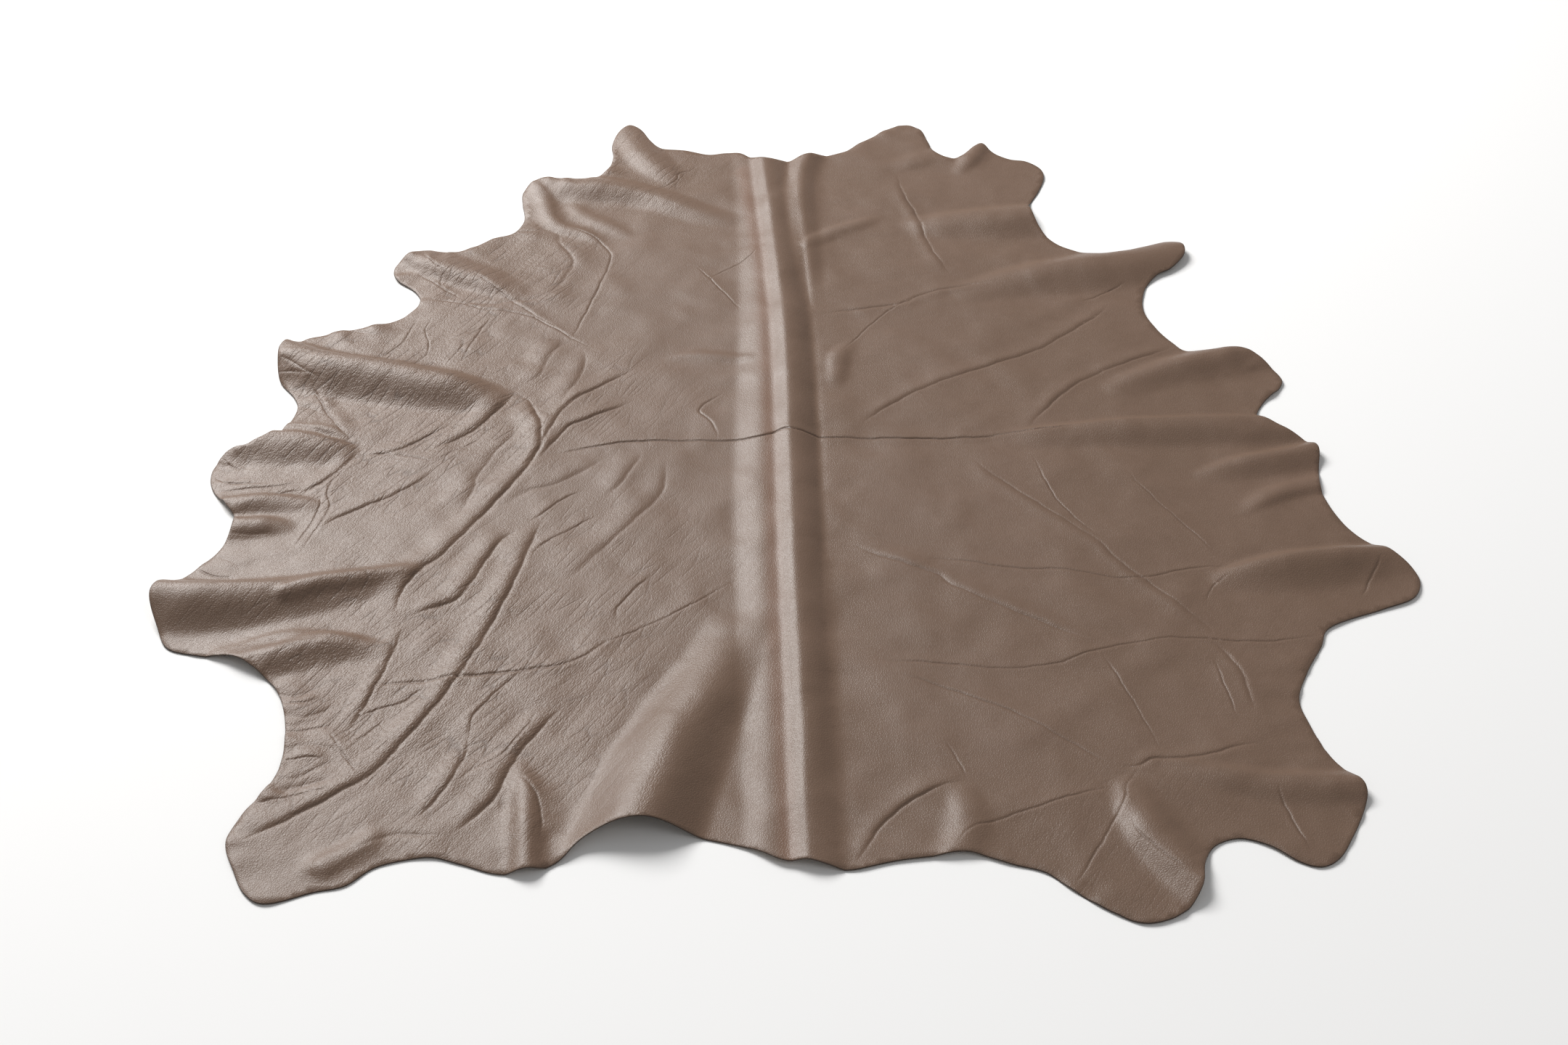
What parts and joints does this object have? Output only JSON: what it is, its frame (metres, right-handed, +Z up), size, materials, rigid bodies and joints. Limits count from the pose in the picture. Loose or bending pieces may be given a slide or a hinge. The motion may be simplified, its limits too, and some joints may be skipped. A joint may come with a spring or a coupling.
{
  "type": "leather hide",
  "caption": "Whole leather hide laid out flat, with a raised backbone fold, soft folds and creases and an uneven cut edge.",
  "frame": {"origin": "under the centre of the hide's outline, on the surface it lies on", "axes": "+Z up, grain side up; +Y along the backbone from the butt to the neck; +X towards the right of someone who stands at the butt and faces the neck"},
  "size_m": [2.2892, 2.517, 0.0476],
  "materials": {
    "leather": "taupe aniline leather, pebbled grain, soft gloss"
  },
  "bodies": {
    "root": {"hide": "leather"}
  },
  "joints": []
}
